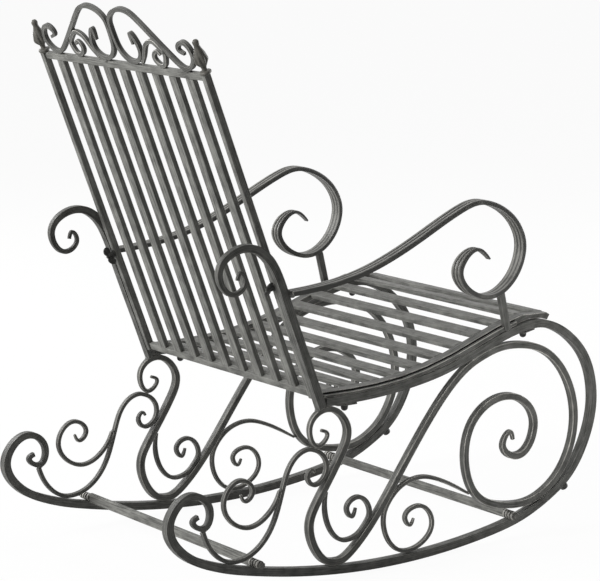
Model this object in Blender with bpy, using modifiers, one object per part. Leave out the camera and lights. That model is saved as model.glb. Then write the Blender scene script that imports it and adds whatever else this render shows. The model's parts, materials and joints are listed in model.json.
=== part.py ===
"""Wrought-iron rocking chair.

Two scrolled side frames of bent square bar carry a slatted back, a slatted seat and reeded arms.
Metres, +Z up. The chair faces -Y and +X is the sitter's left. The origin is on the floor, under the
middle of the chair's box. The side frames are drawn on a sheet in millimetres: points are (y, z),
with the floor at z = 0 and the front towards negative y.
"""

import math

import bmesh
import bpy
import numpy as np
from mathutils import Euler, Matrix, Vector

MM = 0.001

# Air that is left between pieces that touch.
TOUCH = 0.0003

# The whole chair.
SIDE_SPACING = 0.550
SEAT_HEIGHT = 0.336
FRAME_DEPTH = 1.020
DRAWN_SPACING = 550
DRAWN_SEAT_HEIGHT = 336
DRAWN_DEPTH = 1020

# Square bars of the side frames, by their thickness.
ROCKER_BAR = 0.0155
LEG_BAR = 0.0135
SCROLL_BAR = 0.008

# Drawn-out ends of the bars: the length that narrows and the share of the thickness left at the end.
SQUARE_END = (0, 1)
ROCKER_TIP = (0.22, 0.52)
LEG_RING_TIP = (0.24, 0.45)
LEG_SPIRAL_TIP = (0.09, 0.5)
SCROLL_TIP = (0.03, 0.6)
CREST_TIP = (0.03, 0.7)
POST_TIP = (0.27, 0.35)
ARM_TIP = (0.085, 0.4)

# The rocker rolls on a circle, made of flats of equal length. One flat lies on the floor.
ROCKER_RADIUS = 1.520
ROCKER_FLAT = 0.080
REST_Y = -0.032
FLATS_TO_FRONT = 4
FLATS_TO_REAR = 5

# Centre lines on the drawing sheet, each from one end of its bar to the other.
TAIL = [(427, 166), (438, 158), (416, 143), (401, 169), (442, 206), (490, 159), (470, 113), (411, 75)]
LOOP = [(-393, 66), (-445, 99), (-491, 162), (-511, 233), (-493, 325), (-437, 387), (-361, 416)]
RAIL = [(-300, 408.5), (-200, 375.5), (-150, 359), (-41, 339), (63, 331.5), (151, 333)]
LEG_RING = [(157, 281), (142, 271), (161, 253), (183, 288), (143, 319), (97, 276), (112, 228), (149, 175),
            (184, 104), (131, 29), (62, 65), (-3, 144), (-89, 259)]
LEG_SPIRAL = [(-204, 364), (-257, 380), (-310, 381), (-387, 357), (-446, 291), (-465, 212), (-422, 105),
              (-355, 67), (-293, 66), (-213, 100), (-185, 160), (-202, 245), (-296, 282), (-359, 220),
              (-315, 161), (-280, 191), (-297, 211), (-306, 194)]
TAIL_SCROLL = [(417, 142), (403, 105), (360, 72), (313, 77), (267, 119), (246, 175), (234, 214), (207, 245),
               (178, 250), (144, 217), (153, 190), (175, 183), (187, 203), (178, 212), (171, 205)]
TAIL_CURL = [(247, 184), (266, 153), (322, 128), (372, 182), (334, 217), (309, 191), (323, 177), (335, 191)]
INNER_CURL = [(144, 165), (148, 125), (103, 67), (44, 109), (75, 144), (98, 125), (87, 109), (77, 124)]
MIDDLE_SCROLL = [(-199, 107), (-152, 132), (-88, 157), (-38, 152), (11, 98), (-35, 22), (-106, 61),
                 (-72, 103), (-40, 84), (-51, 69), (-61, 81)]

# Armrest: reeded flat bar from the back to a scroll, and the short post under the scroll. The post is
# laid from a start between seat and scroll, a share of the way up, until it touches both.
ARM_WIDTH = 0.0275
ARM_THICKNESS = 0.009
ARM_REEDS = 3
ARM_GROOVE = 0.0025
ARM_OFFSET = 0.006
ARM_END_HEIGHT = 542
ARM = [(145, 547), (57, 564), (-31, 597), (-114, 636), (-205, 665), (-314, 573), (-227, 482), (-156, 543),
       (-189, 575), (-233, 554)]
ARM_POST_BAR = 0.0125
ARM_POST_FOOT = -292
ARM_POST_HEAD = -256
ARM_POST_START = 0.75

# Rear post: it stands on the leg's ring, runs beside the back and ends in a curl behind it. Its knots
# are at shares of its straight length, and then on the curl, from where the curl starts.
POST_WIDTH = 0.0145
POST_DEPTH = 0.0165
CURL_HEIGHT = 556
POST_STRAIGHT = (0, 0.5, 0.9)
REAR_CURL = [(21, 44), (77, 75), (132, 35), (98, -5), (75, 19), (85, 32), (92, 19)]

# Back panel of tubes, in a plane that leans from the rear end of the seat rail.
BACK_FOOT = 162
BACK_LEAN = math.radians(21.2)
BACK_LIFT = 0.013
BACK_LENGTH = 0.624
UPRIGHT_WIDTH = 0.0115
UPRIGHT_DEPTH = 0.0135
TOP_RAIL_HEIGHT = 0.013
BOTTOM_RAIL_HEIGHT = 0.014
BACK_SLATS = 9
BACK_SLAT_WIDTH = 0.0215
BACK_SLAT_DEPTH = 0.010
TUBE_WALL = 0.0015

# Crest scrolls above the top rail: (x, height above the rail), from the outer end to the inner end.
CREST_LARGE = [(216, 33), (201, 43), (220, 55), (240, 32), (210, 4), (174, 22), (141, 50), (101, 88),
               (59, 106), (6, 80), (4, 52), (10, 25), (42, 4), (77, 30), (62, 60), (60, 39)]
CREST_SMALL = [(67, 4), (87, 31), (126, 50), (152, 35), (151, 19), (137, 4), (116, 19), (128, 31), (137, 24)]

# Finial, turned: (radius, height) down from its tip.
FINIAL = [(0, 64), (4, 62.5), (6, 58), (5, 53), (6, 48), (9.5, 38), (11.5, 29), (10.5, 21), (5.5, 13.5),
          (5, 7), (10.5, 5), (10.5, 0), (0, 0)]
FINIAL_SIDES = 14

# Seat panel: side bars on the rails, tubes across, plates under the rails. The side bars fill the space
# between the rails and the flatter line of the seat.
SEAT_SIDE_WIDTH = 0.020
SEAT_SIDE_HEIGHT = 0.0095
SEAT_SIDE_INSET = 0.009
SEAT_SIDE = [(152, 343), (63, 342), (15, 344.5), (-36, 352), (-87, 361), (-138, 373.5), (-187, 389),
             (-235, 405.5), (-284, 420), (-334, 426.5), (-365, 426.5), (-395, 423.5)]
SEAT_SLATS = 11
SEAT_SLAT_WIDTH = 0.022
SEAT_SLAT_HEIGHT = 0.0105
SEAT_FRONT_EDGE = 0.012
SEAT_REAR_EDGE = 0.036
TAB_LENGTH = 0.030
TAB_THICKNESS = 0.0035
TAB_REACH = 0.013
TAB_PLACES = {"rear": 94, "front": -335}

# Stretchers between the rockers, each held by a round sleeve on the rocker. The sleeve starts a little
# inside the rocker's inner face and stands proud of its outer face.
SLEEVE_LENGTH = 0.027
SLEEVE_INSIDE = 0.0005
SLEEVE_SIDES = 16
STRETCHER_THICKNESS = 0.008
REAR_STRETCHER = 306
REAR_SLEEVE = 0.015
REAR_STRETCHER_HEIGHT = 0.018
FRONT_STRETCHER = -298
FRONT_SLEEVE = 0.017
FRONT_STRETCHER_HEIGHT = 0.0168

# How the bends are cut into straight steps.
STEPS_PER_KNOT = 24
TURN_STEP = math.radians(12)
LONGEST_STEP = 0.060
BEND_PASSES = 60
FACE_SAMPLES = 9

# Smallest lengths that still count.
NO_LENGTH = 1e-9
MERGE_DISTANCE = 1e-5

# Finishes: colour, roughness and metallic value.
FRAME_FINISH = ("antique_iron_frame", (0.070, 0.069, 0.065), 0.50, 0.60)
PANEL_FINISH = ("antique_iron_panel", (0.085, 0.084, 0.080), 0.48, 0.60)
FITTING_FINISH = ("dark_iron_fitting", (0.045, 0.044, 0.042), 0.55, 0.60)

SIDES = {"left": 1, "right": -1}
SIDE_PLANE = SIDE_SPACING / 2
SIDE_TURN = Euler((math.pi / 2, 0, math.pi / 2)).to_matrix().to_4x4()


def clear_scene():
    """Remove what the scene holds and make the collections for the chair and its guides."""
    for thing in list(bpy.data.objects):
        bpy.data.objects.remove(thing)
    collections = []
    for name in ("rocking_chair", "guides"):
        collection = bpy.data.collections.new(name)
        bpy.context.scene.collection.children.link(collection)
        collections.append(collection)
    return collections


def finish_material(finish):
    """A Principled material with the finish's colour, made once."""
    name, colour, roughness, metallic = finish
    material = bpy.data.materials.get(name)
    if material is None:
        material = bpy.data.materials.new(name)
        material.use_nodes = True
        shader = material.node_tree.nodes["Principled BSDF"]
        shader.inputs["Base Color"].default_value = (*colour, 1)
        shader.inputs["Roughness"].default_value = roughness
        shader.inputs["Metallic"].default_value = metallic
    return material


def on_sheet(points):
    """Sheet points of the side frame in metres, stretched to the chair's depth and seat height."""
    stretch = (FRAME_DEPTH / DRAWN_DEPTH, SEAT_HEIGHT / DRAWN_SEAT_HEIGHT)
    return np.array(points, float) * stretch


def above_seat(points):
    """Sheet points of what stands above the seat: the heights move with the seat, unstretched."""
    moved = np.array(points, float) - (0, DRAWN_SEAT_HEIGHT)
    return moved * (FRAME_DEPTH / DRAWN_DEPTH, MM) + (0, SEAT_HEIGHT)


def smooth_curve(knots):
    """Points along the curve of steady bend that passes through the knots."""
    knots = np.asarray(knots, float)
    span = np.linalg.norm(np.diff(knots, axis=0), axis=1)
    count = len(knots)
    system = np.eye(count)
    bend = np.zeros((count, 2))
    system[0, 1] = -1
    system[-1, -2] = -1
    slope = np.diff(knots, axis=0) / span[:, None]
    for i in range(1, count - 1):
        system[i, i - 1:i + 2] = span[i - 1], 2 * (span[i - 1] + span[i]), span[i]
        bend[i] = 6 * (slope[i] - slope[i - 1])
    bend = np.linalg.solve(system, bend)
    points = []
    for i in range(count - 1):
        for u in np.arange(STEPS_PER_KNOT) / STEPS_PER_KNOT:
            v = 1 - u
            lift = (v ** 3 - v) * bend[i] + (u ** 3 - u) * bend[i + 1]
            points.append(v * knots[i] + u * knots[i + 1] + lift * span[i] ** 2 / 6)
    points.append(knots[-1])
    return np.array(points)


def in_steps(points):
    """The fewest of a curve's points that keep each straight step short and its turn small."""
    step = np.diff(points, axis=0)
    heading = np.unwrap(np.arctan2(step[:, 1], step[:, 0]))
    length = np.linalg.norm(step, axis=1)
    kept = [0]
    turned = 0.0
    travelled = 0.0
    for i in range(1, len(points) - 1):
        turned += heading[i] - heading[i - 1]
        travelled += length[i - 1]
        if abs(turned) >= TURN_STEP or travelled >= LONGEST_STEP:
            kept.append(i)
            turned = 0.0
            travelled = 0.0
    return points[kept + [len(points) - 1]]


def tapered(path, size, start_tip, end_tip):
    """Half thickness along a path whose ends narrow: each tip is (length, share left at the end)."""
    travelled = np.concatenate([[0], np.cumsum(np.linalg.norm(np.diff(path, axis=0), axis=1))])
    share = np.ones(len(path))
    for distance, (length, end_share) in ((travelled, start_tip), (travelled[-1] - travelled, end_tip)):
        if length:
            share = np.minimum(share, end_share + (1 - end_share) * np.clip(distance / length, 0, 1))
    return share * size / 2


def nearest(points, path):
    """For each point and each step of a path: the place along the step and the nearest point on it."""
    start = path[:-1] if len(path) > 1 else path
    step = np.diff(path, axis=0) if len(path) > 1 else np.zeros((1, 2))
    reach_squared = np.maximum((step ** 2).sum(1), NO_LENGTH ** 2)
    place = np.clip(((points[:, None] - start) * step).sum(2) / reach_squared, 0, 1)
    return place, start + place[..., None] * step


def air(points, bars):
    """Smallest distance from each point to the surface of the bars, less the touching air."""
    best = np.full(len(points), np.inf)
    for path, half in bars:
        place, foot = nearest(points, path)
        thick = half[:-1] + place * np.diff(half) if len(path) > 1 else half
        best = np.minimum(best, (np.linalg.norm(points[:, None] - foot, axis=2) - thick).min(1))
    return best - TOUCH


def bend_clear(path, half, bars):
    """Bend a path just as much as it takes to lie beside the bars that are already in place."""
    path = path.copy()
    for _ in range(BEND_PASSES):
        for other, other_half in bars:
            place, foot = nearest(path, other)
            thick = other_half[:-1] + place * np.diff(other_half) if len(other) > 1 else other_half
            away = path[:, None] - foot
            distance = np.linalg.norm(away, axis=2)
            short = half[:, None] + thick + TOUCH - distance
            for i in np.flatnonzero(short.max(1) > 0):
                j = short[i].argmax()
                path[i] += away[i, j] / distance[i, j] * short[i, j]
            place, foot = nearest(other, path)
            away = foot - other[:, None]
            distance = np.linalg.norm(away, axis=2)
            short = half[:-1] + place * np.diff(half) + other_half[:, None] + TOUCH - distance
            for i in np.flatnonzero(short.max(1) > 0):
                j = short[i].argmax()
                push = away[i, j] / distance[i, j] * short[i, j]
                path[j] += push * (1 - place[i, j])
                path[j + 1] += push * place[i, j]
    return path


def reach(start, heading, width, bars, radius=0.0):
    """Move a square face of some width, or a round of some radius, along a heading until it touches."""
    heading = np.asarray(heading, float) / np.linalg.norm(heading)
    across = np.array([-heading[1], heading[0]]) * width
    place = np.asarray(start, float)
    for _ in range(BEND_PASSES):
        face = place + np.linspace(-0.5, 0.5, FACE_SAMPLES)[:, None] * across
        gap = air(face, bars).min() - radius
        place = place + heading * gap
    return place


def rocker_height(y, inset):
    """Height at y of the circle that lies some distance inside the rocker's rolling face."""
    half = ROCKER_BAR / 2
    middle = ROCKER_RADIUS - half
    lean = math.asin(ROCKER_FLAT / 2 / middle)
    lift = ROCKER_RADIUS - middle * math.cos(lean) - half * math.cos(lean)
    return ROCKER_RADIUS - math.sqrt((ROCKER_RADIUS - inset) ** 2 - (y - REST_Y) ** 2) - lift


def back_line(z):
    """Where the middle of the leaning back is at a height, as y."""
    return BACK_FOOT * FRAME_DEPTH / DRAWN_DEPTH + (z - SEAT_HEIGHT) * math.tan(BACK_LEAN)


def post_face(z):
    """Where the front face of the rear post is at a height, as y."""
    return back_line(z) - POST_DEPTH / 2 / math.cos(BACK_LEAN)


def rocker_path():
    """Rocker, front loop and seat rail as one bar: path and half thickness."""
    flats = REST_Y + ROCKER_FLAT * (np.arange(FLATS_TO_REAR, -FLATS_TO_FRONT, -1) - 0.5)
    arc = np.array([(y, rocker_height(y, ROCKER_BAR / 2)) for y in flats])
    rail = on_sheet(RAIL)
    rail[-1, 0] = post_face(rail[-1, 1] - ROCKER_BAR / 2) - TOUCH
    knots = np.vstack([on_sheet(TAIL), arc, on_sheet(LOOP), rail])
    curve = smooth_curve(knots)
    first = len(TAIL) * STEPS_PER_KNOT
    last = (len(TAIL) + len(arc) - 1) * STEPS_PER_KNOT
    path = np.vstack([in_steps(curve[:first + 1])[:-1], arc, in_steps(curve[last:])[1:]])
    return path, tapered(path, ROCKER_BAR, ROCKER_TIP, SQUARE_END)


def bent_bar(knots, size, start_tip, end_tip, bars):
    """A bar through the knots that lies clear beside the bars in place: path and half thickness."""
    path = in_steps(smooth_curve(knots))
    half = tapered(path, size, start_tip, end_tip)
    return bend_clear(path, half, bars), half


def seated_start(bar, bars):
    """A bar whose first end is moved along its own line until it touches the bars in place."""
    path, half = bar
    seat = reach(path[0], path[0] - path[1], 2 * half[0], bars)
    return np.vstack([seat, path[1:]]), half


def sleeve_bar(y, diameter, rocker):
    """A round sleeve lying on the rocker at y, as a bar of no length."""
    above = np.array([y * FRAME_DEPTH / DRAWN_DEPTH, rocker_height(y * MM, ROCKER_BAR) + diameter])
    centre = reach(above, (0, -1), 0, [rocker], diameter / 2)
    return centre[None], np.array([diameter / 2])


def rear_post_path(bars):
    """Rear post from its foot on the leg's ring to the end of its curl: path and half thickness."""
    heading = np.array([math.sin(BACK_LEAN), math.cos(BACK_LEAN)])
    start = np.array([back_line(SEAT_HEIGHT), SEAT_HEIGHT])
    foot = reach(start, -heading, POST_DEPTH, bars)
    top = above_seat([(0, CURL_HEIGHT)])[0]
    top[0] = back_line(top[1])
    curl = top + np.array(REAR_CURL) * (FRAME_DEPTH / DRAWN_DEPTH, MM)
    straight = [foot + (top - foot) * share for share in POST_STRAIGHT]
    path = in_steps(smooth_curve(np.vstack([straight, curl])))
    return path, tapered(path, POST_DEPTH, SQUARE_END, POST_TIP)


def arm_path():
    """Armrest from the front of the rear post to the end of its scroll: path and half thickness."""
    end = above_seat([(0, ARM_END_HEIGHT)])[0]
    end[0] = post_face(end[1] - ARM_THICKNESS / 2) - TOUCH
    path = in_steps(smooth_curve(np.vstack([end, above_seat(ARM)])))
    return path, tapered(path, ARM_THICKNESS, SQUARE_END, ARM_TIP)


class Builder:
    """Makes the chair's objects in their collections, under one root empty."""

    def __init__(self, parts, guides, middle):
        self.parts = parts
        self.guides = guides
        self.root = bpy.data.objects.new("rocking_chair_root", None)
        self.root.location = (0, -middle, 0)
        parts.objects.link(self.root)
        self.square = self.flat_section("square_section", 1, 1)

    def flat_section(self, name, thickness, width):
        """A rectangular section, its thickness lying in the plane of the bar's path."""
        x = thickness / 2
        y = width / 2
        return self.section(name, [(-x, y), (x, y), (x, -y), (-x, -y)])

    def section(self, name, outline):
        """A guide curve that bars are drawn along, its outline given clockwise."""
        curve = self.flat_curve(name, [outline])
        guide = bpy.data.objects.new(name, curve)
        guide.hide_render = True
        guide.display_type = "WIRE"
        self.guides.objects.link(guide)
        return guide

    def flat_curve(self, name, outlines):
        """A flat curve of closed outlines."""
        curve = bpy.data.curves.new(name, "CURVE")
        curve.dimensions = "2D"
        curve.fill_mode = "NONE"
        for outline in outlines:
            spline = curve.splines.new("POLY")
            spline.points.add(len(outline) - 1)
            spline.use_cyclic_u = True
            for point, (x, y) in zip(spline.points, outline):
                point.co = (x, y, 0, 1)
        return curve

    def add(self, name, data, finish, matrix, parent=None):
        """Put an object with its finish into the chair."""
        thing = bpy.data.objects.new(name, data)
        if not data.materials:
            data.materials.append(finish_material(finish))
        thing.parent = parent or self.root
        thing.matrix_basis = matrix
        self.parts.objects.link(thing)
        return thing

    def bar_curve(self, name, path, scale, section):
        """A bar of some section along a flat path, its thickness scaled at each point."""
        curve = bpy.data.curves.new(name, "CURVE")
        curve.dimensions = "2D"
        curve.fill_mode = "NONE"
        curve.bevel_mode = "OBJECT"
        curve.bevel_object = section
        curve.use_fill_caps = True
        spline = curve.splines.new("POLY")
        spline.points.add(len(path) - 1)
        for point, (x, y), size in zip(spline.points, path, scale):
            point.co = (x, y, 0, 1)
            point.radius = size
        return curve

    def side_pair(self, name, path, scale, section, offset=0.0):
        """The same bar in both side frames, at some offset outward from their middle planes."""
        curve = self.bar_curve(name, path, scale, section)
        for side, sign in SIDES.items():
            place = Matrix.Translation((sign * (SIDE_PLANE + offset), 0, 0)) @ SIDE_TURN
            self.add(f"{name}_{side}", curve, FRAME_FINISH, place)

    def tube(self, name, width, depth, length):
        """A rectangular tube with open ends, along its own Z."""
        outlines = []
        for wall in (0, TUBE_WALL):
            x = width / 2 - wall
            y = depth / 2 - wall
            outlines.append([(-x, -y), (x, -y), (x, y), (-x, y)])
        curve = self.flat_curve(name, outlines)
        curve.fill_mode = "BOTH"
        curve.extrude = length / 2
        return curve

    def box(self, name, size):
        """A mesh box of some size about its own middle."""
        shape = bmesh.new()
        bmesh.ops.create_cube(shape, size=1)
        bmesh.ops.scale(shape, vec=size, verts=shape.verts)
        mesh = bpy.data.meshes.new(name)
        shape.to_mesh(mesh)
        shape.free()
        return mesh


def reeded_outline():
    """Section of the armrest, clockwise: a flat bar with rounded reeds on its upper face."""
    half_width = ARM_WIDTH / 2
    half_height = ARM_THICKNESS / 2
    reed = ARM_WIDTH / ARM_REEDS
    top = [(half_height - ARM_GROOVE, half_width)]
    for i in range(ARM_REEDS):
        outer = half_width - reed * i
        top += [(half_height, outer - reed / 4), (half_height, outer - 3 * reed / 4)]
        top.append((half_height - ARM_GROOVE, outer - reed))
    return [(-half_height, half_width)] + top + [(-half_height, -half_width)]


def build_side_frames(builder, paths):
    """Rockers, legs, scrolls, posts and arms, left and right."""
    for name in ("rocker", "leg_bar", "tail_scroll", "tail_curl", "inner_curl", "middle_scroll"):
        path, half = paths[name]
        builder.side_pair(name, path, 2 * half, builder.square)
    path, half = paths["rear_post"]
    post = builder.flat_section("post_section", POST_DEPTH, POST_WIDTH)
    builder.side_pair("rear_post", path, 2 * half / POST_DEPTH, post)
    path, half = paths["armrest"]
    reeds = builder.section("reeded_section", reeded_outline())
    builder.side_pair("armrest", path, 2 * half / ARM_THICKNESS, reeds, ARM_OFFSET)
    path, half = paths["arm_post"]
    seat_face = ROCKER_BAR / 2 - SEAT_SIDE_INSET
    builder.side_pair("arm_post", path, 2 * half, builder.square, seat_face + TOUCH + ARM_POST_BAR / 2)


def build_back(builder):
    """Uprights, rails, slats, finials and crest, in the leaning plane of the back."""
    frame = bpy.data.objects.new("back_frame", None)
    frame.parent = builder.root
    frame.location = (0, back_line(SEAT_HEIGHT), SEAT_HEIGHT)
    frame.rotation_euler = (-BACK_LEAN, 0, 0)
    builder.parts.objects.link(frame)
    upright_x = SIDE_PLANE - POST_WIDTH / 2 - TOUCH - UPRIGHT_WIDTH / 2
    set_in = (BACK_SLAT_DEPTH - UPRIGHT_DEPTH) / 2
    bottom = BACK_LIFT
    top = BACK_LIFT + BACK_LENGTH
    foot = bottom - BOTTOM_RAIL_HEIGHT / 2
    head = top + TOP_RAIL_HEIGHT / 2
    upright = builder.tube("back_upright", UPRIGHT_WIDTH, UPRIGHT_DEPTH, head - foot)
    finial = finial_mesh()
    for side, sign in SIDES.items():
        middle = Matrix.Translation((sign * upright_x, 0, (head + foot) / 2))
        builder.add(f"back_upright_{side}", upright, PANEL_FINISH, middle, frame)
        crown = builder.add(f"finial_{side}", finial, FITTING_FINISH,
                            Matrix.Translation((sign * upright_x, 0, head + TOUCH)), frame)
        turn = crown.modifiers.new("turned", "SCREW")
        turn.steps = FINIAL_SIDES
        turn.render_steps = FINIAL_SIDES
        turn.use_merge_vertices = True
        turn.merge_threshold = MERGE_DISTANCE
    rail_length = 2 * (upright_x - UPRIGHT_WIDTH / 2 - TOUCH)
    along_x = Matrix.Rotation(math.pi / 2, 4, "Y")
    for name, height, level in (("back_top_rail", TOP_RAIL_HEIGHT, top),
                                ("back_bottom_rail", BOTTOM_RAIL_HEIGHT, bottom)):
        rail = builder.tube(name, height, BACK_SLAT_DEPTH, rail_length)
        builder.add(name, rail, PANEL_FINISH, Matrix.Translation((0, set_in, level)) @ along_x, frame)
    low = bottom + BOTTOM_RAIL_HEIGHT / 2 + TOUCH
    high = top - TOP_RAIL_HEIGHT / 2 - TOUCH
    slat = builder.tube("back_slat", BACK_SLAT_WIDTH, BACK_SLAT_DEPTH, high - low)
    pitch = 2 * upright_x / (BACK_SLATS + 1)
    for i in range(BACK_SLATS):
        x = (i + 1) * pitch - upright_x
        middle = Matrix.Translation((x, set_in, (low + high) / 2))
        builder.add(f"back_slat_{i + 1}", slat, PANEL_FINISH, middle, frame)
    build_crest(builder, frame, Vector((0, set_in, head)), upright_x)


def finial_mesh():
    """Outline of the finial in its XZ plane, from the tip down to the seat on the upright."""
    shape = bmesh.new()
    points = [shape.verts.new((radius * MM, 0, height * MM)) for radius, height in FINIAL]
    for upper, lower in zip(points, points[1:]):
        shape.edges.new((upper, lower))
    mesh = bpy.data.meshes.new("finial")
    shape.to_mesh(mesh)
    shape.free()
    return mesh


def build_crest(builder, frame, origin, reach_out):
    """Two large and two small scrolls on the top rail, mirrored about the middle."""
    rail = (np.array([(-reach_out, -TOP_RAIL_HEIGHT / 2), (reach_out, -TOP_RAIL_HEIGHT / 2)]),
            np.full(2, TOP_RAIL_HEIGHT / 2))
    middle = (np.array([(0, 0), (0, reach_out)]), np.zeros(2))
    stretch = (SIDE_SPACING / DRAWN_SPACING, MM)
    large = bent_bar(np.array(CREST_LARGE) * stretch, SCROLL_BAR, CREST_TIP, CREST_TIP, [rail, middle])
    small = bent_bar(np.array(CREST_SMALL) * stretch, SCROLL_BAR, CREST_TIP, CREST_TIP, [rail, large])
    upright = Matrix.Translation(origin) @ Matrix.Rotation(math.pi / 2, 4, "X")
    for name, (path, half) in (("crest_large", large), ("crest_small", small)):
        for side, sign in SIDES.items():
            curve = builder.bar_curve(name, path * (sign, 1), 2 * half, builder.square)
            builder.add(f"{name}_{side}", curve, FRAME_FINISH, upright, frame)


def build_seat(builder, paths):
    """Side bars on the rails, tubes across between them, and the plates under the rails."""
    path, half = paths["seat_side"]
    inner = SIDE_PLANE + ROCKER_BAR / 2 - SEAT_SIDE_INSET - SEAT_SIDE_WIDTH
    bar = builder.flat_curve("seat_side", [seat_side_outline(path, half, paths["rocker"])])
    bar.fill_mode = "BOTH"
    bar.extrude = SEAT_SIDE_WIDTH / 2
    for side, sign in SIDES.items():
        place = Matrix.Translation((sign * (inner + SEAT_SIDE_WIDTH / 2), 0, 0)) @ SIDE_TURN
        builder.add(f"seat_side_{side}", bar, PANEL_FINISH, place)
    slat = builder.tube("seat_slat", SEAT_SLAT_WIDTH, SEAT_SLAT_HEIGHT, 2 * (inner - TOUCH))
    step = np.diff(path, axis=0)
    travelled = np.concatenate([[0], np.cumsum(np.linalg.norm(step, axis=1))])
    for i, place in enumerate(np.linspace(travelled[-1] - SEAT_FRONT_EDGE, SEAT_REAR_EDGE, SEAT_SLATS)):
        k = np.searchsorted(travelled, place) - 1
        y, z = path[k] + step[k] * (place - travelled[k]) / (travelled[k + 1] - travelled[k])
        slope = math.atan2(-step[k, 1], -step[k, 0])
        matrix = Matrix.Translation((0, y, z)) @ Matrix.Rotation(slope, 4, "X") @ SIDE_TURN
        builder.add(f"seat_slat_{i + 1}", slat, PANEL_FINISH, matrix)
    build_tabs(builder, paths["rocker"])


def seat_side_outline(path, half, rocker):
    """Outline of a seat side bar: the line of the seat above, the top face of the rail below."""
    rise = np.gradient(path, axis=0)
    up = np.stack([rise[:, 1], -rise[:, 0]], axis=1) / np.linalg.norm(rise, axis=1)[:, None]
    top = path + up * half[:, None]
    rear = reach(path[0], -up[0], 0, [rocker])
    front = reach(path[-1], -up[-1], 0, [rocker])
    rail, rail_half = rocker
    step = np.diff(rail, axis=0)
    face = np.stack([-step[:, 1], step[:, 0]], axis=1) / np.linalg.norm(step, axis=1)[:, None]
    corner = np.vstack([2 * face[:1], face[:-1] + face[1:], 2 * face[-1:]])
    bottom = [front]
    for k in range(rail[:, 0].argmin(), len(rail)):
        if front[0] < rail[k, 0] < rear[0]:
            bottom.append(rail[k] + corner[k] * 2 / (corner[k] @ corner[k]) * (rail_half[k] + TOUCH))
    return np.vstack([top, bottom, rear])


def build_tabs(builder, rocker):
    """Plates under the seat rail that the seat's bolts pass through."""
    width = ROCKER_BAR + TAB_REACH
    plate = builder.box("seat_tab", (width, TAB_LENGTH, TAB_THICKNESS))
    path = rocker[0]
    rail_start = path[:, 0].argmin()
    for place, y in TAB_PLACES.items():
        y *= FRAME_DEPTH / DRAWN_DEPTH
        k = rail_start + np.searchsorted(path[rail_start:, 0], y) - 1
        step = path[k + 1] - path[k]
        slope = math.atan2(step[1], step[0])
        down = np.array([math.sin(slope), -math.cos(slope)])
        on_rail = path[k] + step * (y - path[k, 0]) / step[0]
        face = reach(on_rail + down * 2 * ROCKER_BAR, -down, TAB_LENGTH, [rocker])
        y_middle, z_middle = face + down * TAB_THICKNESS / 2
        for side, sign in SIDES.items():
            x = sign * (SIDE_PLANE + ROCKER_BAR / 2 - width / 2)
            matrix = Matrix.Translation((x, y_middle, z_middle)) @ Matrix.Rotation(slope, 4, "X")
            builder.add(f"seat_tab_{place}_{side}", plate, FITTING_FINISH, matrix)


def build_stretchers(builder, paths):
    """Flat bars across between the rockers, and the round sleeves that hold them."""
    inner = SIDE_PLANE - ROCKER_BAR / 2 - SLEEVE_INSIDE
    for place, height in (("rear", REAR_STRETCHER_HEIGHT), ("front", FRONT_STRETCHER_HEIGHT)):
        centre, half = paths[f"{place}_sleeve"]
        y, z = centre[0]
        bar = builder.box(f"{place}_stretcher", (2 * (inner - TOUCH), STRETCHER_THICKNESS, height))
        builder.add(f"{place}_stretcher", bar, PANEL_FINISH, Matrix.Translation((0, y, z)))
        shape = bmesh.new()
        bmesh.ops.create_cone(shape, cap_ends=True, segments=SLEEVE_SIDES, radius1=half[0], radius2=half[0],
                              depth=SLEEVE_LENGTH)
        for face in shape.faces:
            face.smooth = len(face.verts) < SLEEVE_SIDES
        sleeve = bpy.data.meshes.new(f"{place}_sleeve")
        shape.to_mesh(sleeve)
        shape.free()
        for side, sign in SIDES.items():
            x = sign * (inner + SLEEVE_LENGTH / 2)
            matrix = Matrix.Translation((x, y, z)) @ Matrix.Rotation(math.pi / 2, 4, "Y")
            builder.add(f"stretcher_sleeve_{place}_{side}", sleeve, FITTING_FINISH, matrix)


def side_paths():
    """Every bar of a side frame in the order in which it is laid against the ones before it."""
    rocker = rocker_path()
    rear_sleeve = sleeve_bar(REAR_STRETCHER, REAR_SLEEVE, rocker)
    front_sleeve = sleeve_bar(FRONT_STRETCHER, FRONT_SLEEVE, rocker)
    tip = SCROLL_TIP
    leg_knots = on_sheet(LEG_RING + LEG_SPIRAL)
    leg = bent_bar(leg_knots, LEG_BAR, LEG_RING_TIP, LEG_SPIRAL_TIP, [rocker, front_sleeve])
    frame = [rocker, leg, rear_sleeve, front_sleeve]
    tail_scroll = seated_start(bent_bar(on_sheet(TAIL_SCROLL), SCROLL_BAR, SQUARE_END, tip, frame), [rocker])
    paths = {
        "rocker": rocker,
        "rear_sleeve": rear_sleeve,
        "front_sleeve": front_sleeve,
        "leg_bar": leg,
        "tail_scroll": tail_scroll,
        "tail_curl": bent_bar(on_sheet(TAIL_CURL), SCROLL_BAR, tip, tip, frame + [tail_scroll]),
        "inner_curl": bent_bar(on_sheet(INNER_CURL), SCROLL_BAR, tip, tip, frame),
        "middle_scroll": bent_bar(on_sheet(MIDDLE_SCROLL), SCROLL_BAR, tip, tip, frame),
        "rear_post": rear_post_path([leg]),
        "armrest": arm_path(),
    }
    seat_knots = on_sheet(SEAT_SIDE)
    seat_knots[0, 0] = post_face(seat_knots[0, 1] - SEAT_SIDE_HEIGHT) - TOUCH
    paths["seat_side"] = bent_bar(seat_knots, SEAT_SIDE_HEIGHT, SQUARE_END, SQUARE_END, [rocker])
    paths["arm_post"] = arm_post_path(rocker, paths["armrest"])
    return paths


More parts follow.
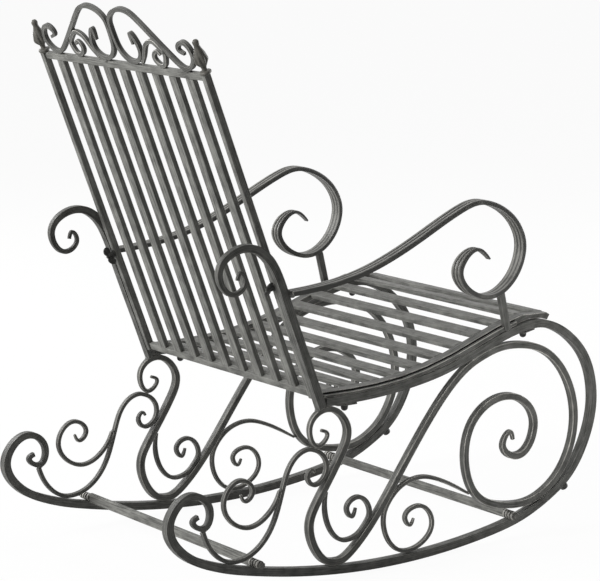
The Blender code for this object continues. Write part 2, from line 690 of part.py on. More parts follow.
def arm_post_path(rocker, arm):
    """Short post from the top of the seat rail to the underside of the arm's scroll."""
    foot_y = ARM_POST_FOOT * FRAME_DEPTH / DRAWN_DEPTH
    head_y = ARM_POST_HEAD * FRAME_DEPTH / DRAWN_DEPTH
    lowest = arm[0][arm[0][:, 1].argmin()]
    rise = lowest[1] - SEAT_HEIGHT
    between = np.array([(foot_y + head_y) / 2, SEAT_HEIGHT + rise * ARM_POST_START])
    heading = np.array([head_y - foot_y, rise])
    head = reach(between, heading, ARM_POST_BAR, [arm])
    foot = reach(between, -heading, ARM_POST_BAR, [rocker])
    return np.array([foot, head]), np.full(2, ARM_POST_BAR / 2)


def chair_middle(rocker):
    """Middle of the chair's depth, from the ends of its rockers."""
    path, half = rocker
    heading = np.gradient(path, axis=0)
    out = half * np.abs(heading[:, 1]) / np.linalg.norm(heading, axis=1)
    return ((path[:, 0] - out).min() + (path[:, 0] + out).max()) / 2


def main():
    """Build the chair."""
    parts, guides = clear_scene()
    paths = side_paths()
    builder = Builder(parts, guides, chair_middle(paths["rocker"]))
    build_side_frames(builder, paths)
    build_back(builder)
    build_seat(builder, paths)
    build_stretchers(builder, paths)


main()
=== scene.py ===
"""Looks of a wrought-iron rocking chair.

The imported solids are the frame. Each bar is dressed as a forged one, with smooth bends, eased edges and a
hand-rubbed finish. The arms get rounded reeds, the fittings are turned, and the fasteners and welds are
added. Metres, +Z up. The chair faces -Y and +X is the sitter's left. Sizes named _mm are in millimetres.
"""

import json
import logging
import math
from dataclasses import dataclass, field
from enum import Enum, IntEnum

import bmesh
import bpy
from mathutils import Matrix, Vector, noise
from mathutils.bvhtree import BVHTree


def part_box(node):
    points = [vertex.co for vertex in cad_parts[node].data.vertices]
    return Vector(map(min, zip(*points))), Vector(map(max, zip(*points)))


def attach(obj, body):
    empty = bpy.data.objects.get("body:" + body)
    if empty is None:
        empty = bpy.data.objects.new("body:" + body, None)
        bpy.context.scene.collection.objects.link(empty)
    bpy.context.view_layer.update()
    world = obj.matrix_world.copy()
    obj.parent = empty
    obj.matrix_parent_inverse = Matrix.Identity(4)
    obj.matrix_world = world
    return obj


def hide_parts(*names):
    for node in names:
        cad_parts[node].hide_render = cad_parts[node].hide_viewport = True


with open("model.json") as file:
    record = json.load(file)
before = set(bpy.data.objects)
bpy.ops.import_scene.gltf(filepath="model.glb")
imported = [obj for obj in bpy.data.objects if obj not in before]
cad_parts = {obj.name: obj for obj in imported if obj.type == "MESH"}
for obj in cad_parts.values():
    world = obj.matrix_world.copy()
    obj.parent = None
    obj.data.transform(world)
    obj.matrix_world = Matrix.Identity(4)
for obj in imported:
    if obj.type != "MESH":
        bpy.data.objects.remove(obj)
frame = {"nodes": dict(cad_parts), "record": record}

LOG = logging.getLogger("rocking_chair")
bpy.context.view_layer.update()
BODY = "root"
MM = 0.001
NODES: dict[str, bpy.types.Object] = frame["nodes"]
ACROSS = Vector((1, 0, 0))
UP = Vector((0, 0, 1))
BRUSH_MAP = "brush"
SHARP = math.radians(40)
GROOVE = math.radians(60)
FLAT = math.radians(1)
MERGE_MM = 0.3
SEAM_MM = 0.001
# Stretch of the brush map on every second face of a bar, so that neighbouring faces show different streaks
FACE_STRETCH = 2
ARM_WIDTH_MM = 27.5
ARM_REEDS = 3
SLOTS: dict[str, str] = {row["node"]: row["material_slot"] for row in frame["record"]["subparts"]}
BrushPlaces = dict[bmesh.types.BMVert, tuple[float, float]]


class Side(Enum):
    """The two sides of the chair, as the sitter sees them."""

    LEFT = 1
    RIGHT = -1

    @property
    def label(self) -> str:
        """The side's word in a node's name."""
        return self.name.lower()


class Finished(IntEnum):
    """Material numbers of a piece's faces.

    On an eased edge, LIKE_NEIGHBOUR keeps the number of the faces beside it. Number one is pale wear with a
    painted highlight, and number two is painted shade.
    """

    LIKE_NEIGHBOUR = -1
    RUBBED_EDGE = 1
    UNRUBBED = 2


class Nut(Enum):
    """Kinds of nut that hold the chair together."""

    WING = "wing_nut"
    CAP = "cap_nut"
    HOLLOW = "hollow_nut"


def linear(code: str) -> tuple[float, float, float, float]:
    """Linear colour of an sRGB hex value.

    Args:
        code: Six hex digits.

    Returns:
        Linear red, green and blue, and an alpha of one.
    """
    shares = [int(code[i:i + 2], 16) / 255 for i in (0, 2, 4)]
    red, green, blue = [s / 12.92 if s <= 0.04045 else ((s + 0.055) / 1.055) ** 2.4 for s in shares]
    return red, green, blue, 1.0


def add_node(tree: bpy.types.NodeTree, kind: str, values: dict | None = None, links: dict | None = None,
             **settings: object) -> bpy.types.Node:
    """Add a shader node with its settings, socket values and links.

    Args:
        tree: Node tree that gets the node.
        kind: Blender's name of the node type.
        values: Values for input sockets, by name or number.
        links: Output sockets to link to input sockets, by name or number.
        **settings: Properties of the node itself.

    Returns:
        The new node.
    """
    node = tree.nodes.new(kind)
    for key, value in settings.items():
        setattr(node, key, value)
    for key, value in (values or {}).items():
        node.inputs[key].default_value = value
    for key, socket in (links or {}).items():
        tree.links.new(socket, node.inputs[key])
    return node


@dataclass(frozen=True)
class IronFinish:
    """Antique iron: a black powder coat, rubbed by hand with grey along the bars.

    The rubbing leaves soft streaks along the length and cloudy patches. The coat has a fine orange peel.

    Attributes:
        name: The material's name.
        slot: The record's material slot.
        coat: Colour of the coat, as sRGB hex.
        rubbed: Colour where it is rubbed most, as sRGB hex.
        roughness: Middle roughness. Rubbed places are smoother by gloss_swing, the others rougher.
        metallic: Zero for a coat.
        specular: Strength of its shine.
        streak_mm: Length and width of the streaks.
        cloud_mm: Size of the cloudy patches, which count by cloud_share.
        rub_range: Pattern values at which the rubbing starts and is full.
        peel_mm: Size of the orange peel, peel_depth_mm deep, shown by bump_share.
        streak_relief: How far the streaks count in the relief, next to the peel.
        reed_mm: Width of one reed, where there are any. The reeds' rubbing, painted highlight and painted
            shade count by reed_share.
    """

    name: str
    slot: str
    coat: str
    rubbed: str
    roughness: float = 0.46
    metallic: float = 0.0
    specular: float = 0.25
    streak_mm: tuple[float, float] = (60.0, 2.2)
    cloud_mm: float = 22.0
    peel_mm: float = 1.6
    peel_depth_mm: float = 0.05
    reed_mm: float = 0.0
    cloud_share: float = 0.35
    rub_range: tuple[float, float] = (0.5, 0.85)
    reed_share: float = 0.22
    gloss_swing: float = 0.08
    streak_relief: float = 0.6
    bump_share: float = 0.35

    def material(self) -> bpy.types.Material:
        """The finish as a material, made once.

        Returns:
            The material, new or found by its name.
        """
        found = bpy.data.materials.get(self.name)
        if found:
            return found
        material = bpy.data.materials.new(self.name)
        material.use_nodes = True
        tree = material.node_tree
        shader = tree.nodes["Principled BSDF"]
        shader.inputs["Metallic"].default_value = self.metallic
        shader.inputs["Specular IOR Level"].default_value = self.specular
        along = add_node(tree, "ShaderNodeUVMap", uv_map=BRUSH_MAP)
        length, width = self.streak_mm
        stretched = add_node(tree, "ShaderNodeMapping", {"Scale": (1 / MM / length, 1 / MM / width, 1)},
                             {"Vector": along.outputs["UV"]})
        streaks = add_node(tree, "ShaderNodeTexNoise", {"Scale": 1.0, "Detail": 4.0, "Roughness": 0.6},
                           {"Vector": stretched.outputs["Vector"]})
        place = add_node(tree, "ShaderNodeTexCoord")
        clouds = add_node(tree, "ShaderNodeTexNoise", {"Scale": 1 / MM / self.cloud_mm, "Detail": 3.0},
                          {"Vector": place.outputs["Object"]})
        peel = add_node(tree, "ShaderNodeTexNoise", {"Scale": 1 / MM / self.peel_mm, "Detail": 2.0},
                        {"Vector": place.outputs["Object"]})
        both = add_node(tree, "ShaderNodeMath", {1: self.cloud_share},
                        {0: clouds.outputs["Fac"], 2: streaks.outputs["Fac"]}, operation="MULTIPLY_ADD")
        # Reeds: crests painted pale as rubbing and highlight, grooves painted dark as shade
        if self.reed_mm:
            both = self.reed_rub(tree, along.outputs["UV"], both.outputs["Value"])
        start, full = self.rub_range
        share = add_node(tree, "ShaderNodeMapRange", {"From Min": start, "From Max": full},
                         {"Value": both.outputs["Value"]})
        # A colour mix has its two colours in sockets 6 and 7 and its result in output 2
        colour = add_node(tree, "ShaderNodeMix", {6: linear(self.coat), 7: linear(self.rubbed)},
                          {0: share.outputs["Result"]}, data_type="RGBA")
        gloss = add_node(tree, "ShaderNodeMapRange", {"To Min": self.roughness + self.gloss_swing,
                                                      "To Max": self.roughness - self.gloss_swing},
                         {"Value": share.outputs["Result"]})
        height = add_node(tree, "ShaderNodeMath", {1: self.streak_relief},
                          {0: streaks.outputs["Fac"], 2: peel.outputs["Fac"]}, operation="MULTIPLY_ADD")
        bump = add_node(tree, "ShaderNodeBump",
                        {"Strength": self.bump_share, "Distance": self.peel_depth_mm * MM},
                        {"Height": height.outputs["Value"]})
        tree.links.new(colour.outputs[2], shader.inputs["Base Color"])
        tree.links.new(gloss.outputs["Result"], shader.inputs["Roughness"])
        tree.links.new(bump.outputs["Normal"], shader.inputs["Normal"])
        return material

    def reed_rub(self, tree: bpy.types.NodeTree, brush: bpy.types.NodeSocket,
                 rub: bpy.types.NodeSocket) -> bpy.types.Node:
        """Paint the crests of the reeds paler, as rubbing and highlight, and the grooves darker, as shade.

        Args:
            tree: The finish's node tree.
            brush: The brush map's socket, whose second number runs across the reeds.
            rub: The rubbing so far.

        Returns:
            The node with the rubbing and the reeds' painted light and shade as its value.
        """
        parts = add_node(tree, "ShaderNodeSeparateXYZ", None, {"Vector": brush})
        turn = add_node(tree, "ShaderNodeMath", {1: math.tau / (self.reed_mm * MM)},
                        {0: parts.outputs["Y"]}, operation="MULTIPLY")
        wave = add_node(tree, "ShaderNodeMath", None, {0: turn.outputs["Value"]}, operation="COSINE")
        return add_node(tree, "ShaderNodeMath", {1: self.reed_share}, {0: wave.outputs["Value"], 2: rub},
                        operation="MULTIPLY_ADD")


# Forged bar under a rubbed powder coat: near-black, with soft grey streaks along it and little shine.
FRAME_IRON = IronFinish("antique_iron_frame_bar", "frame", "333331", "6a6a67", specular=0.12)
# Tube with the same coat, rubbed harder: dull mid grey, finely streaked.
PANEL_IRON = IronFinish("antique_iron_panel_tube", "panel", "434341", "7f7f7b", specular=0.1)
# Turned steel under a blackened coat: dark and blotchy, with a slight sheen.
FITTING_IRON = IronFinish("blackened_iron_fitting", "fitting", "2c2c2a", "676662", 0.5,
                          streak_mm=(8.0, 4.0), cloud_mm=9.0)
# Rolled bar with reeds: crests rubbed pale plus a painted highlight, grooves between them painted darker as
# shade.
ARM_IRON = IronFinish("antique_iron_reeded_arm", "frame", "3e3e3c", "7d7c78", 0.42, specular=0.2,
                      reed_mm=ARM_WIDTH_MM / ARM_REEDS)
# Cast iron: dark and mottled, with patches of warm grey.
FINIAL_IRON = IronFinish("blackened_iron_bud", "fitting", "2f312e", "63605a", 0.5,
                         streak_mm=(8.0, 4.0), cloud_mm=7.0)
# Coat rubbed nearly through along an edge, plus a painted highlight: a thin pale line with some gloss.
EDGE_WEAR_AND_HIGHLIGHT = IronFinish("antique_iron_rubbed_edge", "frame", "666562", "aeaca6", 0.4)
# Machined steel with black oxide: the darkest small parts, with a soft glint.
NUT_STEEL = IronFinish("black_oxide_steel_nut", "fitting", "131312", "3a3a38", 0.45,
                       streak_mm=(8.0, 4.0), cloud_mm=5.0)
# Painted shade: a dull black line above each seat side's ledge, for the shadow in the gap under the slats.
PAINTED_GAP_SHADE = IronFinish("unrubbed_black_coat", "panel", "121211", "262625", specular=0.05)
FINISHES = {finish.slot: finish for finish in (FRAME_IRON, PANEL_IRON, FITTING_IRON)}


def new_piece(name: str, shape: bmesh.types.BMesh, finish: IronFinish, *replaced: str) -> bpy.types.Object:
    """Make a piece of the chair from a finished shape.

    Args:
        name: The piece's name.
        shape: Its mesh, in place, which is freed.
        finish: The finish of its faces. Faces with material number one get the pale rubbed edge with a
            painted highlight.
        *replaced: CAD nodes that the piece stands for.

    Returns:
        The piece, riding on the chair's body.
    """
    mesh = bpy.data.meshes.new(name)
    shape.to_mesh(mesh)
    shape.free()
    mesh.materials.append(finish.material())
    mesh.materials.append(EDGE_WEAR_AND_HIGHLIGHT.material())
    piece = bpy.data.objects.new(name, mesh)
    bpy.context.scene.collection.objects.link(piece)
    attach(piece, BODY)
    if replaced:
        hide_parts(*replaced)
    LOG.info("%s: %d faces", name, len(mesh.polygons))
    return piece


def merged_copy(node: str) -> bmesh.types.BMesh:
    """A CAD node's mesh with its corners joined and its flat faces whole.

    Args:
        node: Name of the CAD node.

    Returns:
        A new mesh of four-cornered faces where the node has them.
    """
    shape = bmesh.new()
    shape.from_mesh(NODES[node].data)
    bmesh.ops.remove_doubles(shape, verts=shape.verts, dist=MERGE_MM * MM)
    bmesh.ops.join_triangles(shape, faces=shape.faces, angle_face_threshold=SHARP / 2,
                             angle_shape_threshold=math.pi)
    for face in shape.faces:
        face.smooth = True
    return shape


def keep_faces_flat(piece: bpy.types.Object) -> None:
    """Shade the broad faces of a piece flat, so that only its eased edges turn.

    Args:
        piece: A piece whose edges are already eased.
    """
    flat = piece.modifiers.new("flat_faces", "WEIGHTED_NORMAL")
    flat.mode = "FACE_AREA"
    flat.weight = 100
    flat.keep_sharp = True


def sharp_edges(shape: bmesh.types.BMesh, angle: float) -> list[bmesh.types.BMEdge]:
    """Edges of a closed shape whose faces meet at more than an angle."""
    return [edge for edge in shape.edges if edge.is_manifold and edge.calc_face_angle() > angle]


def write_brush_map(shape: bmesh.types.BMesh, places: BrushPlaces) -> None:
    """Write a brush map: along the bar in one direction and round it in the other.

    Args:
        shape: Mesh that gets the map.
        places: The map place of each vertex, in metres.
    """
    layer = shape.loops.layers.uv.new(BRUSH_MAP)
    for face in shape.faces:
        for loop in face.loops:
            loop[layer].uv = places[loop.vert]


def end_faces(shape: bmesh.types.BMesh) -> list[bmesh.types.BMFace]:
    """Find the faces of one end of a bar.

    Args:
        shape: Mesh of the bar.

    Returns:
        The smallest patch of faces between sharp edges.
    """
    reached = set()
    patches = []
    # Faces are taken in the mesh's own order, so that each run finds the same one of two equal ends
    for start in shape.faces:
        if start in reached:
            continue
        reached.add(start)
        patch = [start]
        for face in patch:
            for edge in face.edges:
                if edge.calc_face_angle(0) < SHARP:
                    found = [near for near in edge.link_faces if near not in reached]
                    reached.update(found)
                    patch.extend(found)
        patches.append(patch)
    return min(patches, key=len)


def places_along(shape: bmesh.types.BMesh, plane: Vector, half_width: float = 0.0) -> BrushPlaces:
    """Brush map places on a bent bar, found ring by ring from one of its ends.

    Args:
        shape: Mesh of the bar.
        plane: Normal of the plane that the bar is bent in.
        half_width: Where given, the map runs across the bar alone, from its middle to this at its edge.

    Returns:
        Length along the bar and distance round it, for each vertex.
    """
    end = end_faces(shape)
    ring = list(dict.fromkeys(vert for face in end for vert in face.verts))
    middle = sum((vert.co for vert in ring), Vector()) / len(ring)
    heading = -end[0].normal
    travelled = 0.0
    places = {}
    while ring:
        side = plane.cross(heading)
        widest = max(abs((vert.co - middle).dot(plane)) for vert in ring)
        for vert in ring:
            offset = vert.co - middle
            across = offset.dot(plane)
            if half_width:
                places[vert] = (travelled, across / widest * half_width)
            else:
                places[vert] = (travelled, across + FACE_STRETCH * offset.dot(side))
        near = dict.fromkeys(edge.other_vert(vert) for vert in ring for edge in vert.link_edges)
        ahead = [vert for vert in near if vert not in places]
        if ahead:
            centre = sum((vert.co for vert in ahead), Vector()) / len(ahead)
            heading = (centre - middle).normalized()
            travelled += (centre - middle).length
            middle = centre
        ring = ahead
    return places


def long_axis(shape: bmesh.types.BMesh) -> Vector:
    """Direction of a shape's longest edge.

    Args:
        shape: Mesh to look at.

    Returns:
        The direction, pointing upward.
    """
    longest = max(shape.edges, key=lambda edge: edge.calc_length())
    run = (longest.verts[1].co - longest.verts[0].co).normalized()
    return run if run.z >= 0 else -run


def back_axis() -> Vector:
    """Direction in which the back rises.

    Returns:
        The long direction of the back's uprights.
    """
    shape = merged_copy("back_upright_left")
    axis = long_axis(shape)
    shape.free()
    return axis


def face_of(node: str, start: Vector, heading: Vector) -> tuple[Vector, Vector]:
    """Where a line from a start meets a CAD node.

    Args:
        node: Name of the CAD node.
        start: Start of the line, outside the node.
        heading: Direction of the line.

    Returns:
        The place on the node's face and the face's outward direction.
    """
    shape = merged_copy(node)
    place, outward, _, _ = BVHTree.FromBMesh(shape).ray_cast(start, heading)
    shape.free()
    return place, outward


def standing(place: Vector, up: Vector, toward: Vector) -> Matrix:
    """Matrix that stands a shape at a place.

    Args:
        place: Where its origin goes.
        up: Where its own Z axis points.
        toward: Where its own X axis points, as nearly as it can.

    Returns:
        The matrix.
    """
    z_axis = up.normalized()
    y_axis = z_axis.cross(toward).normalized()
    x_axis = y_axis.cross(z_axis)
    return Matrix.Translation(place) @ Matrix((x_axis, y_axis, z_axis)).transposed().to_4x4()


def lathe(outline: list[tuple[float, float]], sides: int) -> bmesh.types.BMesh:
    """Turn an outline about the Z axis into a closed shape.

    Args:
        outline: Radius and height of its points in millimetres, from the top to the bottom of the axis.
        sides: How many sides it gets: few make a nut, many a round.

    Returns:
        The turned shape.
    """
    shape = bmesh.new()
    points = [shape.verts.new((radius * MM, 0, height * MM)) for radius, height in outline]
    edges = [shape.edges.new(pair) for pair in zip(points, points[1:])]
    bmesh.ops.spin(shape, geom=points + edges, cent=(0, 0, 0), axis=(0, 0, 1), dvec=(0, 0, 0),
                   angle=math.tau, steps=sides, use_merge=True)
    bmesh.ops.remove_doubles(shape, verts=shape.verts, dist=SEAM_MM * MM)
    bmesh.ops.recalc_face_normals(shape, faces=shape.faces)
    for face in shape.faces:
        face.smooth = True
    for edge in sharp_edges(shape, SHARP):
        edge.smooth = False
    return shape


def join(shape: bmesh.types.BMesh, added: bmesh.types.BMesh, matrix: Matrix) -> None:
    """Put a second shape into a first.

    Args:
        shape: The first shape.
        added: The second shape, which is freed.
        matrix: Where the second shape goes.
    """
    bmesh.ops.transform(added, matrix=matrix, verts=added.verts)
    mesh = bpy.data.meshes.new("joined")
    added.to_mesh(mesh)
    added.free()
    shape.from_mesh(mesh)
    bpy.data.meshes.remove(mesh)


def places_straight(shape: bmesh.types.BMesh) -> BrushPlaces:
    """Brush map places on a straight piece, along its longest edge.

    Args:
        shape: Mesh of the piece.

    Returns:
        Length along the piece and distance round it, for each vertex.
    """
    run = long_axis(shape)
    side = run.orthogonal().normalized()
    other = run.cross(side) * FACE_STRETCH
    return {vert: (vert.co.dot(run), vert.co.dot(side + other)) for vert in shape.verts}


@dataclass
class ForgedBars:
    """Bars of the side frames and the crest: smooth bends, eased edges with wear and a painted highlight.
    """

    ease_mm: float = 1.4
    segments: int = 2
    levels: int = 2
    side_bars: tuple[str, ...] = ("rocker", "leg_bar", "tail_scroll", "tail_curl", "inner_curl",
                                  "middle_scroll", "rear_post")
    crest_bars: tuple[str, ...] = ("crest_large", "crest_small")

    def build(self) -> None:
        """Forge every bar of both sides."""
        crest_plane = ACROSS.cross(back_axis())
        for side in Side:
            for name in self.side_bars:
                self.forge(f"{name}_{side.label}", ACROSS)
            for name in self.crest_bars:
                self.forge(f"{name}_{side.label}", crest_plane)
            self.forge_arm(f"armrest_{side.label}")

    def forge(self, node: str, plane: Vector) -> bpy.types.Object:
        """Dress one bar with smooth bends and eased edges, pale with wear and a painted highlight.

        Args:
            node: The CAD node that the bar stands for.
            plane: Normal of the plane that it is bent in.

        Returns:
            The bar's piece.
        """
        shape = merged_copy(node)
        self.crease(shape, SHARP)
        write_brush_map(shape, places_along(shape, plane))
        piece = new_piece(f"forged_{node}", shape, FINISHES[SLOTS[node]], node)
        self.smooth_bends(piece)
        ease = piece.modifiers.new("eased_edges", "BEVEL")
        ease.width = self.ease_mm * MM
        ease.segments = self.segments
        ease.limit_method = "ANGLE"
        ease.angle_limit = SHARP
        # The eased edges get pale wear with a painted highlight
        ease.material = Finished.RUBBED_EDGE
        keep_faces_flat(piece)
        return piece

    def forge_arm(self, node: str) -> bpy.types.Object:
        """Dress an armrest: its reeds round off between sharp grooves.

        Args:
            node: The CAD node that the arm stands for.

        Returns:
            The arm's piece.
        """
        shape = merged_copy(node)
        self.crease(shape, GROOVE)
        write_brush_map(shape, places_along(shape, ACROSS, ARM_WIDTH_MM / 2 * MM))
        piece = new_piece(f"forged_{node}", shape, ARM_IRON, node)
        self.smooth_bends(piece)
        return piece

    def crease(self, shape: bmesh.types.BMesh, angle: float) -> None:
        """Keep the sharp edges of a bar sharp when its bends are smoothed.

        Args:
            shape: Mesh of the bar.
            angle: Least angle of a sharp edge.
        """
        layer = shape.edges.layers.float.new("crease_edge")
        for edge in sharp_edges(shape, angle):
            edge[layer] = 1.0
            edge.smooth = False

    def smooth_bends(self, piece: bpy.types.Object) -> None:
        """Round the straight steps of a bar's bends.

        Args:
            piece: The bar's piece.
        """
        smooth = piece.modifiers.new("smooth_bends", "SUBSURF")
        smooth.levels = self.levels
        smooth.render_levels = self.levels


@dataclass
class PanelWork:
    """Straight pieces: the tubes of the back and seat, the stretchers, the plates and the arm posts.

    Each seat side also gets a ledge along its outer face, below a gap under the slats' ends whose face is
    painted black as shade.
    """

    ease_mm: float = 1.3
    segments: int = 3
    seat_round_mm: float = 2.8
    tubes: tuple[str, ...] = ("back_slat", "back_top_rail", "back_bottom_rail", "back_upright", "seat_slat")
    solids: tuple[str, ...] = ("front_stretcher", "rear_stretcher", "seat_tab", "arm_post")
    gap_mm: float = 4.4
    ledge_mm: float = 7.0
    ledge_front_mm: float = -297.0
    facing_up: float = 0.5

    def build(self) -> None:
        """Dress the seat sides and then every other straight piece."""
        for side in Side:
            node = f"seat_side_{side.label}"
            # The seat sides' eased edges get pale wear with a painted highlight
            piece = self.dress(node, self.ledged_side(node, side), FRAME_IRON, Finished.RUBBED_EDGE)
            # The third material is painted shade: black for the shadow in the gap above the ledge
            piece.data.materials.append(PAINTED_GAP_SHADE.material())
        for node, slot in SLOTS.items():
            if node.startswith(self.tubes + self.solids):
                self.dress(node, merged_copy(node), FINISHES[slot], Finished.LIKE_NEIGHBOUR)

    def ledged_side(self, node: str, side: Side) -> bmesh.types.BMesh:
        """Shape of a seat side with the ledge on its outer face.

        Args:
            node: The seat side's CAD node.
            side: Which side of the chair it is on.

        Returns:
            The shape. The outer face, which shows above the ledge, is marked for painted shade.
        """
        shape = merged_copy(node)
        bmesh.ops.dissolve_limit(shape, angle_limit=FLAT, verts=shape.verts, edges=shape.edges)
        bmesh.ops.bisect_plane(shape, geom=[*shape.verts, *shape.edges, *shape.faces],
                               plane_co=(0, self.ledge_front_mm * MM, 0), plane_no=(0, 1, 0))
        outer = max(shape.faces, key=lambda face: face.normal.x * side.value * face.calc_area())
        # Painted shade: this face is coloured black for the shadow in the gap
        outer.material_index = Finished.UNRUBBED
        ledge = bmesh.new()
        corners = []
        for vert in outer.verts:
            on_top = any(face.normal.z > self.facing_up for face in vert.link_faces)
            corners.append(ledge.verts.new(vert.co - UP * self.gap_mm * MM * on_top))
        moved = bmesh.ops.extrude_face_region(ledge, geom=[ledge.faces.new(corners)])["geom"]
        bmesh.ops.translate(ledge, vec=ACROSS * side.value * self.ledge_mm * MM,
                            verts=[part for part in moved if isinstance(part, bmesh.types.BMVert)])
        bmesh.ops.recalc_face_normals(ledge, faces=ledge.faces)
        join(shape, ledge, Matrix.Identity(4))
        return shape

    def dress(self, node: str, shape: bmesh.types.BMesh, finish: IronFinish,
              edges: Finished) -> bpy.types.Object:
        """Ease the long edges of a tube, or all edges of a solid piece.

        Args:
            node: The CAD node that the piece stands for.
            shape: Its mesh.
            finish: Its finish.
            edges: Material number of its eased edges.

        Returns:
            The piece.
        """
        longest = max(edge.calc_length() for edge in shape.edges)
        weight = shape.edges.layers.float.new("bevel_weight_edge")
        for edge in sharp_edges(shape, SHARP):
            long_enough = edge.calc_length() > longest / 2 or not node.startswith(self.tubes)
            if edge.is_convex and long_enough:
                edge[weight] = 1.0
            else:
                edge.smooth = False
        write_brush_map(shape, places_straight(shape))
        piece = new_piece(f"eased_{node}", shape, finish, node)
        ease = piece.modifiers.new("eased_edges", "BEVEL")
        ease.width = MM * (self.seat_round_mm if node.startswith("seat_slat") else self.ease_mm)
        ease.segments = self.segments
        ease.limit_method = "WEIGHT"
        ease.material = edges
        keep_faces_flat(piece)
        return piece


@dataclass
class Finials:
    """Cast buds on the back's uprights: a ball tip, ribbed petals, a neck and a collar."""

    outline_mm: tuple[tuple[float, float], ...] = (
        (0, 64), (3.4, 63.2), (5.4, 60.8), (6.1, 58), (5.6, 55), (5.1, 52.8), (5.4, 50.5), (6.6, 46.5),
        (8.2, 42), (9.9, 37.5), (11.2, 33), (11.7, 29), (11.6, 25.5), (10.8, 22), (9.2, 18.6), (7.2, 15.8),
        (5.4, 13.6), (4.8, 11), (4.8, 8.4), (5.6, 6.6), (8.6, 5.8), (10.3, 4.6), (10.8, 2.8), (10.4, 0.8),
        (9.6, 0), (0, 0))
    sides: int = 64
    ribs: int = 8
    rib_depth: float = 0.22
    rib_middle: float = 0.7
    tiers: int = 2
    tier_depth: float = 0.07
    tier_slant: int = 2
    corners: int = 4
    corner_depth: float = 0.05
    petals_mm: tuple[float, float] = (13.6, 48.0)
    twist_deg: float = 30.0
    collar_mm: float = 6.2
    collar_lobes: int = 3
    collar_depth: float = 0.08

    def build(self) -> None:
        """Carve both finials."""
        axis = back_axis()
        for side in Side:
            node = f"finial_{side.label}"
            shape = lathe(list(self.outline_mm), self.sides)
            self.carve(shape)
            corners = [vert.co for vert in NODES[node].data.vertices]
            low = min(corner.dot(axis) for corner in corners)
            base = [corner for corner in corners if corner.dot(axis) < low + MM]
            foot = sum(base, Vector()) / len(base)
            bmesh.ops.transform(shape, matrix=standing(foot, axis, ACROSS), verts=shape.verts)
            new_piece(f"cast_{node}", shape, FINIAL_IRON, node)

    def carve(self, shape: bmesh.types.BMesh) -> None:
        """Press ribs and corners into the bud, strongest below its middle, and leave the collar uneven.

        Args:
            shape: The turned bud, standing on the origin.
        """
        low, high = self.petals_mm
        for vert in shape.verts:
            angle = math.atan2(vert.co.y, vert.co.x)
            share = (vert.co.z / MM - low) / (high - low)
            swell = 1.0
            if 0 < share < 1:
                strength = math.sin(math.pi * math.sqrt(share))
                turned = angle + math.radians(self.twist_deg) * share
                rib = abs(math.cos(self.ribs / 2 * turned)) - self.rib_middle
                tier = math.cos(math.tau * self.tiers * share + self.tier_slant * angle)
                swell += strength * (self.rib_depth * rib
                                     + self.corner_depth * math.cos(self.corners * turned)
                                     + self.tier_depth * tier)
            elif vert.co.z < self.collar_mm * MM:
                swell += self.collar_depth * math.sin(self.collar_lobes * angle)
            vert.co.x *= swell
            vert.co.y *= swell


@dataclass
class Sleeves:
    """Turned sleeves that hold the stretchers, with ring grooves, and a bolt head at the outer end."""

    groove_places: tuple[float, ...] = (-0.55, 0.0, 0.55)
    groove_mm: float = 1.9
    groove_depth_mm: float = 2.0
    groove_floor: float = 0.4
    chamfer_mm: float = 1.0
    sides: int = 36
    washer_mm: tuple[tuple[float, float], ...] = ((0, 1.6), (7, 1.6), (7.4, 1.2), (7.4, 0), (0, 0))
    head_mm: tuple[tuple[float, float], ...] = ((0, 7.6), (5.4, 7.6), (6.4, 6.8), (6.4, 1.6), (0, 1.6))
    head_sides: int = 6

    def build(self) -> None:
        """Turn all four sleeves."""
        for place in ("front", "rear"):
            for side in Side:
                node = f"stretcher_sleeve_{place}_{side.label}"
                low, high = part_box(node)
                radius = (high.z - low.z) / 2 / MM
                half = (high.x - low.x) / 2 / MM
                shape = lathe(self.outline(radius, half), self.sides)
                # The rings' crests get the pale edge colour, wear with a painted highlight, so the grooves
                # show dark
                for face in shape.faces:
                    if face.calc_center_median().xy.length > (radius - self.groove_depth_mm / 2) * MM:
                        face.material_index = Finished.RUBBED_EDGE
                at_end = Matrix.Translation((0, 0, half * MM))
                join(shape, lathe(list(self.washer_mm), self.sides), at_end)
                join(shape, lathe(list(self.head_mm), self.head_sides), at_end)
                outward = ACROSS * side.value
                middle = (low + high) / 2
                bmesh.ops.transform(shape, matrix=standing(middle, outward, UP), verts=shape.verts)
                new_piece(f"turned_{node}", shape, FITTING_IRON, node)

    def outline(self, radius: float, half: float) -> list[tuple[float, float]]:
        """Outline of a sleeve with its grooves.

        Args:
            radius: The sleeve's radius in millimetres.
            half: Half its length in millimetres.

        Returns:
            Radius and height of the points, from its outer end to its inner end.
        """
        rim = radius - self.chamfer_mm
        shoulder = half - self.chamfer_mm
        floor = radius - self.groove_depth_mm
        points = [(0, half), (rim, half), (radius, shoulder)]
        for place in sorted(self.groove_places, reverse=True):
            middle = place * half
            wide = self.groove_mm
            narrow = self.groove_mm * self.groove_floor
            points += [(radius, middle + wide), (floor, middle + narrow)]
            points += [(floor, middle - narrow), (radius, middle - wide)]
        return points + [(radius, -shoulder), (rim, -half), (0, -half)]


